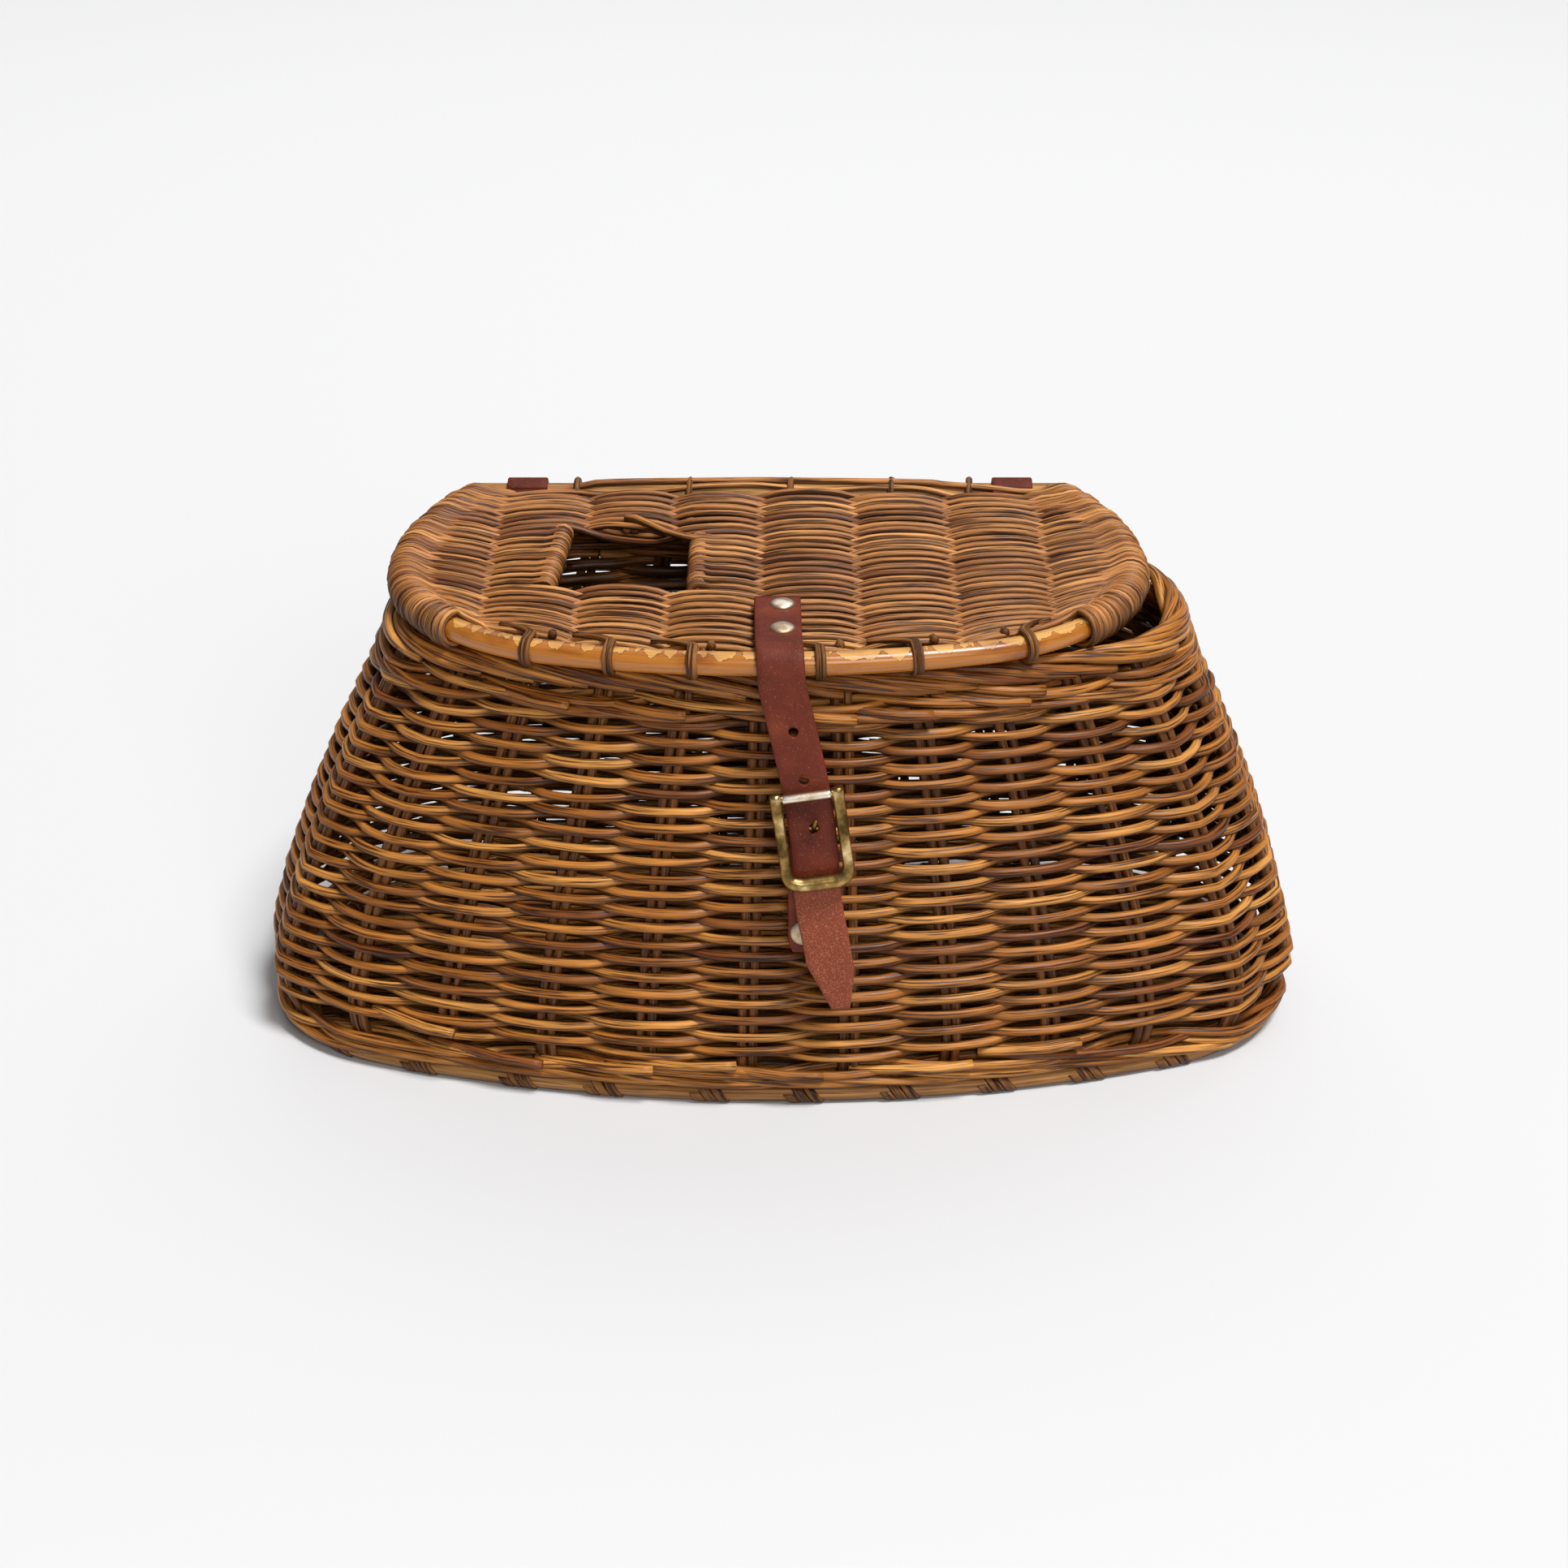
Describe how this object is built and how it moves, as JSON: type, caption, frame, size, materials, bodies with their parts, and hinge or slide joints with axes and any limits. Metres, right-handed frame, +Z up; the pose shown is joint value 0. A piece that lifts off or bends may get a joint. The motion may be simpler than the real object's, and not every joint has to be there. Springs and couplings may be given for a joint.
{
  "type": "wicker creel basket",
  "caption": "Woven wicker creel basket with a hinged lid that has a square hole, leather hinge tabs, and a leather closing strap with a roller buckle.",
  "frame": {"origin": "on the ground under the middle of the base, at the base's lower face", "axes": "+Z up, front with the strap faces -Y, width along X"},
  "size_m": [0.3768, 0.1817, 0.1691],
  "materials": {
    "willow": "round willow rods, dry satin",
    "stake_willow": "round willow stakes, dry satin",
    "lid_willow": "thin round willow rods, satin",
    "tie_willow": "round willow ties, satin",
    "pale_cane": "smooth cane, satin",
    "flat_cane": "flat cane wraps, satin",
    "varnished_cane": "thick cane, worn varnish, semi gloss",
    "oxblood_leather": "aged vegetable tanned leather, matte",
    "aged_brass": "aged brass, dull",
    "nickel": "worn nickel plate, satin"
  },
  "bodies": {
    "basket": {"base_weave": "willow", "base_hoop": "pale_cane", "base_binding": "flat_cane", "upset_wale": "willow", "side_stakes": "stake_willow", "side_weave": "willow", "rim_wale": "willow", "rim_border": "willow", "hinge_tab_left": "oxblood_leather", "hinge_tab_right": "oxblood_leather", "chape": "oxblood_leather", "chape_rivet": "nickel", "chape_burr": "nickel"},
    "lid": {"lid_back_rail": "varnished_cane", "lid_front_cane": "varnished_cane", "lid_weave": "lid_willow", "lid_stakes": "stake_willow", "lid_end_wraps": "lid_willow", "lid_front_ties": "tie_willow", "lid_back_ties": "tie_willow", "hole_edge_left": "lid_willow", "hole_edge_right": "lid_willow", "strap_head": "oxblood_leather", "strap_rivets": "nickel", "strap_burrs": "nickel"},
    "strap": {"strap_tail": "oxblood_leather"},
    "buckle": {"buckle_frame": "aged_brass", "centre_bar": "aged_brass", "roller_pin": "aged_brass"},
    "roller": {"roller": "nickel"},
    "prong": {"prong": "aged_brass"}
  },
  "joints": [
    {"name": "lid_hinge", "type": "hinge", "parent": "basket", "child": "lid", "pos_m": [0, 0.0735, 0.1615], "axis": [-1, 0, 0], "range_deg": [0, 100]},
    {"name": "strap_flex", "type": "hinge", "parent": "lid", "child": "strap", "pos_m": [0.0026, -0.0842, 0.158], "axis": [-1, 0, 0], "range_deg": [-60, 0], "deforming": ["strap_tail"]},
    {"name": "buckle_swing", "type": "hinge", "parent": "basket", "child": "buckle", "pos_m": [0.01067, -0.08883, 0.10065], "axis": [0.9903, 0.0194, 0.1378], "range_deg": [-20, 5]},
    {"name": "roller_spin", "type": "hinge", "parent": "buckle", "child": "roller", "pos_m": [0.00825, -0.09306, 0.11865], "axis": [0.9903, 0.0194, 0.1378], "continuous": true},
    {"name": "prong_swing", "type": "hinge", "parent": "buckle", "child": "prong", "pos_m": [0.01067, -0.08883, 0.10065], "axis": [0.9903, 0.0194, 0.1378], "range_deg": [0, 90]}
  ],
  "couplings": [
    {"joint": "strap_flex", "follows": "lid_hinge", "ratio": -0.6}
  ]
}
